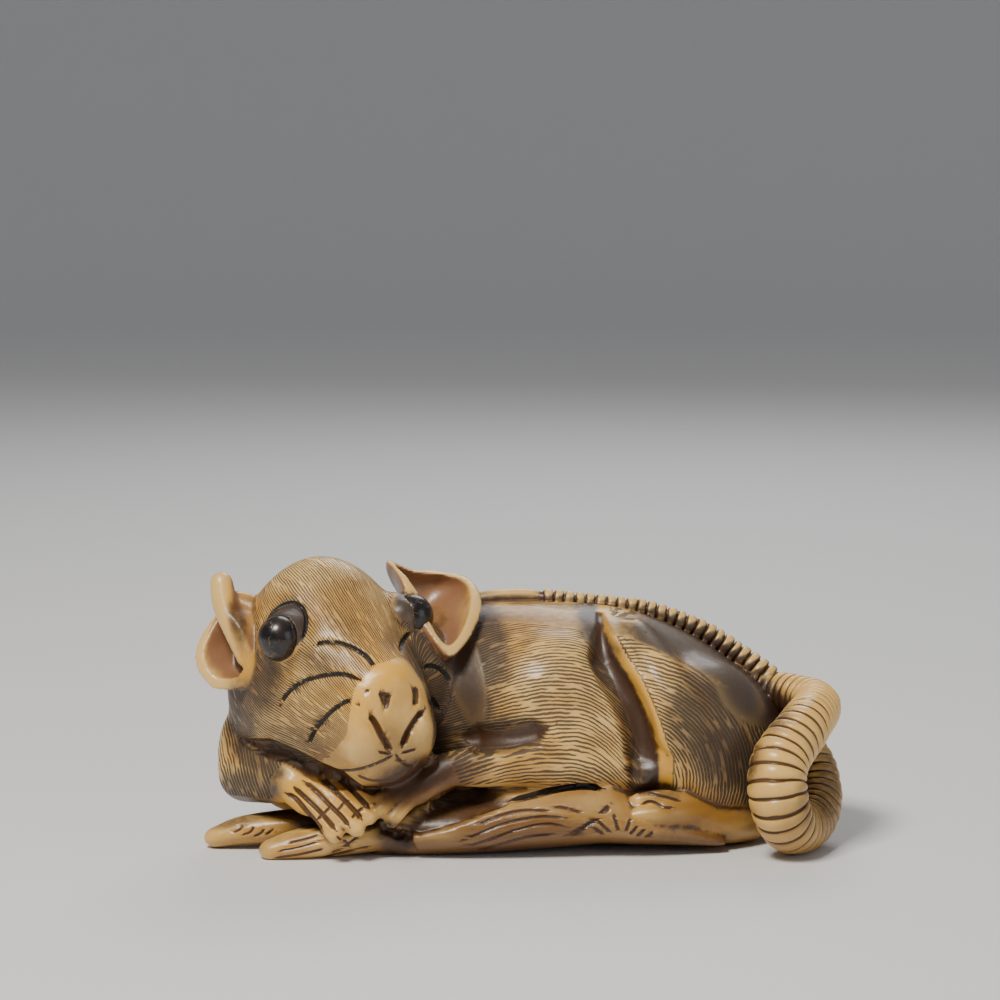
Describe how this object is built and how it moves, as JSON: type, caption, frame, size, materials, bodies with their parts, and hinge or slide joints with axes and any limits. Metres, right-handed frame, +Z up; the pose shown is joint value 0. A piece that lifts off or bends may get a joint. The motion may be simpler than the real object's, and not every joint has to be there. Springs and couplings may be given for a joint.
{
  "type": "netsuke",
  "caption": "Small carved toggle of a rat lying on a dried fish, with inlaid eyes, a ringed tail and a cord channel in its underside.",
  "frame": {"origin": "middle of the bounding box, at the level of the underside that it rests on", "axes": "+X along the body from the head to the rump, +Y away from the side that the head faces, +Z up from the underside"},
  "size_m": [0.06, 0.0326, 0.0267],
  "materials": {
    "ivory": "polished ivory, stained brown in the cuts and hollows",
    "horn": "polished dark horn"
  },
  "bodies": {
    "root": {"rat_on_fish": "ivory", "eye_left": "horn", "eye_right": "horn"}
  },
  "joints": []
}
